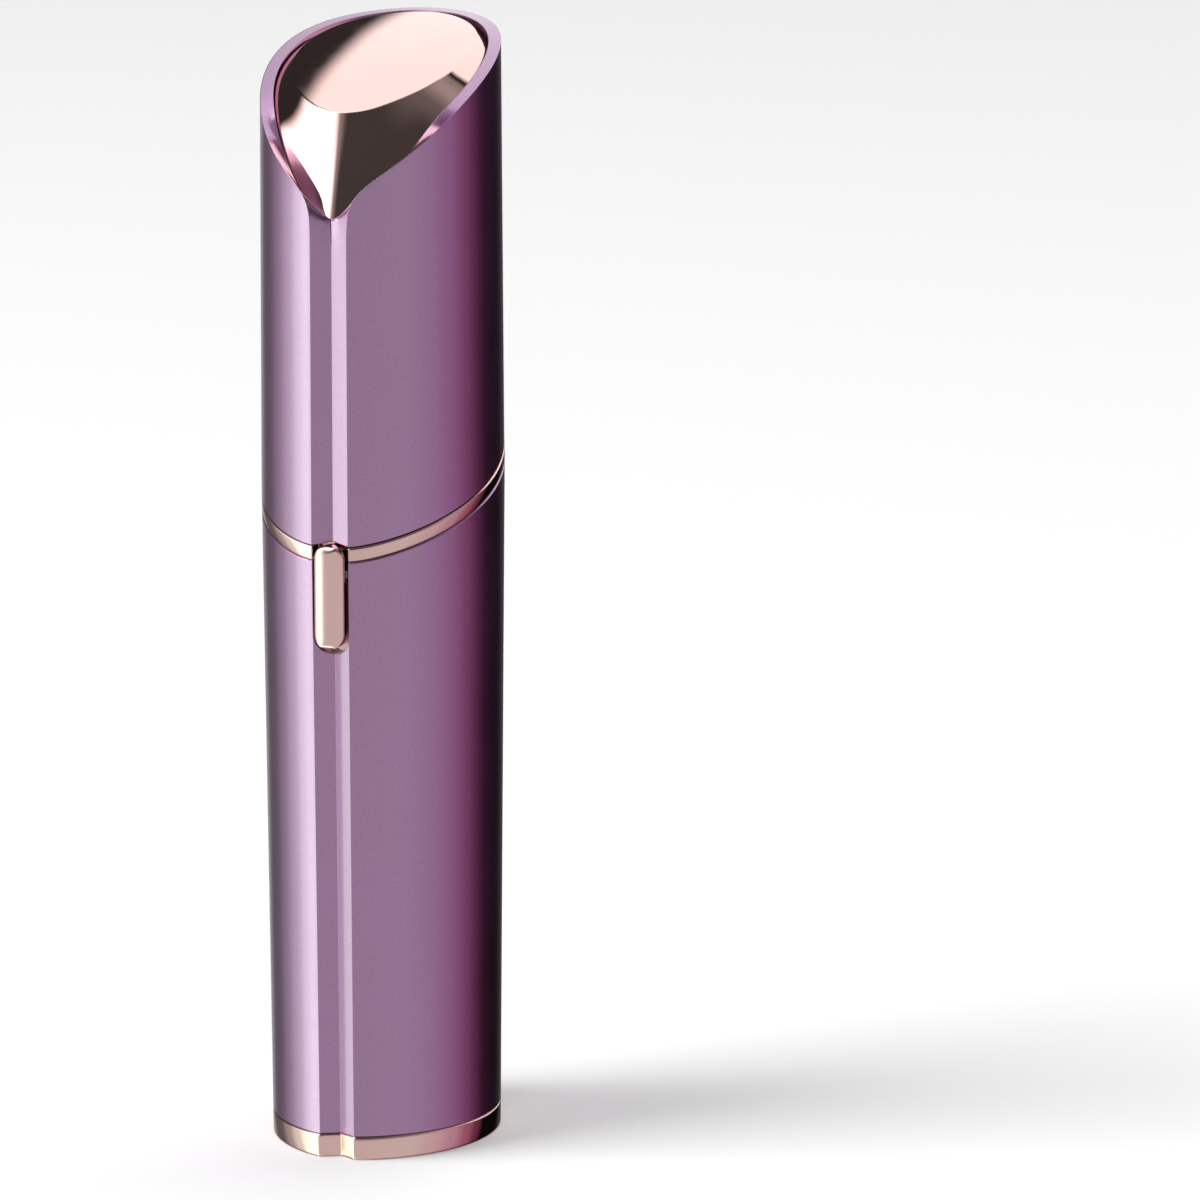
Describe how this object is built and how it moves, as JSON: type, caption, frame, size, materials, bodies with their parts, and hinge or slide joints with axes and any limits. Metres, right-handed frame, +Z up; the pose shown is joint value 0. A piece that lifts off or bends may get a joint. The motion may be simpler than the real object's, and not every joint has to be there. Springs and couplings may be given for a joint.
{
  "type": "rotary facial hair remover",
  "caption": "Lipstick-style battery hair remover: almond-section lilac case with front groove, slider switch, round foil head and pull-off cap with mirror insert.",
  "frame": {"origin": "centre of the flat base, where the case's long axis meets the surface it stands on", "axes": "+Z up along the case, -Y towards the front with the groove and the slider switch, +X to the right seen from the front"},
  "size_m": [0.025, 0.0316, 0.1182],
  "materials": {
    "lilac_shell": "satin metallic lacquer",
    "rose_gold": "mirror rose gold plating",
    "white_abs": "moulded",
    "black_abs": "moulded",
    "spring_steel": "drawn wire and strip",
    "motor_steel": "plated can",
    "magnet": "sintered",
    "brass": "stamped",
    "copper_winding": "enamelled wire",
    "battery_jacket": "printed film jacket, plain",
    "wire_red": "insulated wire"
  },
  "bodies": {
    "shell": {"body_shell": "lilac_shell", "ring_trim": "rose_gold", "base_band": "rose_gold", "base_plug": "black_abs"},
    "chassis": {"collar": "rose_gold", "head_tube": "rose_gold", "battery_holder": "white_abs", "battery_cell": "battery_jacket", "battery_spring": "spring_steel", "positive_contact": "brass", "return_strip": "brass", "motor_leads": "wire_red", "switch_body": "black_abs", "motor_can": "motor_steel", "motor_magnets": "magnet", "motor_endcap": "white_abs", "motor_bush": "brass", "motor_mount": "white_abs", "motor_screws": "spring_steel"},
    "slider": {"slider_button": "rose_gold", "slider_carrier": "white_abs"},
    "motor_shaft": {"motor_rotor": "copper_winding", "drive_coupler": "white_abs"},
    "cutter": {"cutter_hub": "black_abs", "cutter_blades": "spring_steel", "cutter_spring": "spring_steel"},
    "head": {"head_cover": "rose_gold", "foil_disc": "rose_gold", "foil_retainer": "white_abs"},
    "cap": {"cap_shell": "lilac_shell", "cap_liner": "rose_gold", "cap_insert": "rose_gold"}
  },
  "joints": [
    {"name": "chassis_pull", "type": "slide", "parent": "shell", "child": "chassis", "axis": [0, 0, 1], "range_m": [0, 0.045]},
    {"name": "cap_lift", "type": "slide", "parent": "chassis", "child": "cap", "axis": [0, 0, 1], "range_m": [0, 0.06]},
    {"name": "power_slide", "type": "slide", "parent": "chassis", "child": "slider", "axis": [0, 0, 1], "range_m": [0, 0.0031]},
    {"name": "head_twist", "type": "hinge", "parent": "chassis", "child": "head", "pos_m": [0, 0, 0.097], "axis": [0, 0, 1], "range_deg": [-33, 0]},
    {"name": "motor_spin", "type": "hinge", "parent": "chassis", "child": "motor_shaft", "pos_m": [0, 0, 0.074], "axis": [0, 0, 1], "continuous": true},
    {"name": "cutter_spin", "type": "hinge", "parent": "chassis", "child": "cutter", "pos_m": [0, 0, 0.0998], "axis": [0, 0, 1], "continuous": true}
  ],
  "couplings": [
    {"joint": "cutter_spin", "follows": "motor_spin", "ratio": 1}
  ]
}
